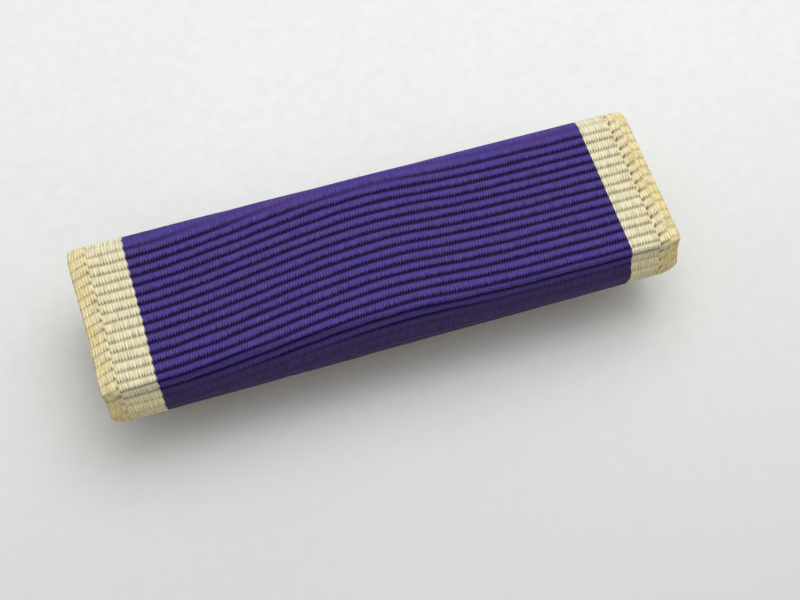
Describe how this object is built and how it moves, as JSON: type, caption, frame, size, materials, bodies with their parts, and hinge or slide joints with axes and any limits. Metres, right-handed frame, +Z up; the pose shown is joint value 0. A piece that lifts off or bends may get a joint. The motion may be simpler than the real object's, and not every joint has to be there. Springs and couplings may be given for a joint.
{
  "type": "medal ribbon bar",
  "caption": "Medal ribbon bar: corded purple ribbon with ivory edges wrapped over a brass tray, with a hinged pin and a turning catch behind.",
  "frame": {"origin": "middle of the footprint, on the surface that the ears of the hinge bracket and the lips of the catch stand on", "axes": "+X along the bar from the hinge to the catch, +Y across the bar, +Z up, out of the ribbon's face"},
  "size_m": [0.035, 0.0106, 0.0066],
  "materials": {
    "ribbon": "corded weave, purple with ivory edges",
    "brass_sheet": "tarnished sheet",
    "brass_fitting": "worn satin",
    "plated_steel": "worn nickel plate",
    "card": "plain grey card"
  },
  "bodies": {
    "bar": {"ribbon": "ribbon", "bar_tray": "brass_sheet", "filler_card": "card", "back_plate": "brass_sheet", "hinge_bracket": "brass_fitting", "hinge_pin": "plated_steel", "catch_base": "brass_fitting", "hinge_rivet_outer": "brass_fitting", "hinge_rivet_inner": "brass_fitting", "catch_rivet_inner": "brass_fitting", "catch_rivet_outer": "brass_fitting"},
    "pin": {"pin_stem": "plated_steel"},
    "catch": {"catch_rotor": "plated_steel"}
  },
  "joints": [
    {"name": "pin_swing", "type": "hinge", "parent": "bar", "child": "pin", "pos_m": [-0.0122, 0, 0.00092], "axis": [0, 1, 0], "range_deg": [0, 105]},
    {"name": "catch_turn", "type": "hinge", "parent": "bar", "child": "catch", "pos_m": [0.01235, 0, 0.00092], "axis": [-1, 0, 0], "range_deg": [0, 170]}
  ]
}
